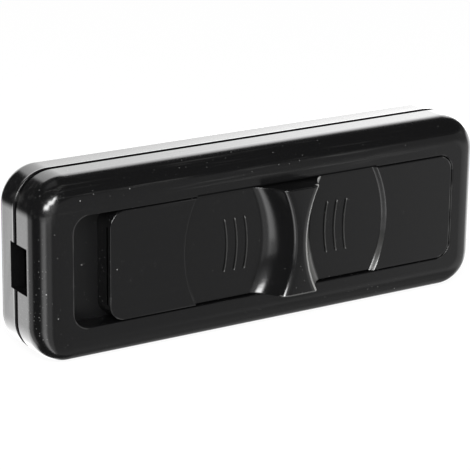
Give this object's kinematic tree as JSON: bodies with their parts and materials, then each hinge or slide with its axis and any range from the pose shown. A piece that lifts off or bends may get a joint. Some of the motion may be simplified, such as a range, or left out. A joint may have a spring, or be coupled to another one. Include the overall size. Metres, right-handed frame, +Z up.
{
  "type": "inline cord switch",
  "caption": "Slim round-edged inline cord switch: black two-shell housing, a flush plate that slides along it by a waisted finger grip, and a cord entry in each end.",
  "frame": {"origin": "on the surface it stands on, under the middle of its overall box", "axes": "+X along the switch, -Y out of the front face towards the finger, +Z up; it stands on one long narrow side"},
  "size_m": [0.092, 0.0202, 0.0326],
  "materials": {
    "shell": "glossy black moulded plastic with fine scuffs and dust",
    "slider": "glossy black moulded plastic, handled",
    "inner_moulding": "natural moulded plastic",
    "clamp_moulding": "dark moulded plastic",
    "brass": "turned brass",
    "contact_metal": "stamped copper alloy",
    "spring_metal": "spring strip",
    "screw_steel": "zinc plated steel"
  },
  "bodies": {
    "housing": {"clamp_screw_left": "screw_steel", "clamp_screw_right": "screw_steel", "contact_strip_left_bottom": "contact_metal", "contact_strip_left_top": "contact_metal", "contact_strip_right_bottom": "contact_metal", "contact_strip_right_top": "contact_metal", "cord_clamp_left": "clamp_moulding", "cord_clamp_right": "clamp_moulding", "cover_screw_left": "screw_steel", "cover_screw_right": "screw_steel", "detent_spring": "spring_metal", "front_cover": "shell", "rear_cover": "shell", "terminal_block_left_bottom": "brass", "terminal_block_left_top": "brass", "terminal_block_right_bottom": "brass", "terminal_block_right_top": "brass", "terminal_screw_left_bottom": "screw_steel", "terminal_screw_left_top": "screw_steel", "terminal_screw_right_bottom": "screw_steel", "terminal_screw_right_top": "screw_steel"},
    "slider": {"slider": "slider", "slide_carrier": "inner_moulding", "carrier_screw": "screw_steel", "contact_bridge_bottom": "contact_metal", "contact_bridge_top": "contact_metal", "contact_spring_bottom": "spring_metal", "contact_spring_top": "spring_metal"}
  },
  "joints": [
    {"name": "slide", "type": "slide", "parent": "housing", "child": "slider", "axis": [-1, 0, 0], "range_m": [0, 0.0068]}
  ]
}
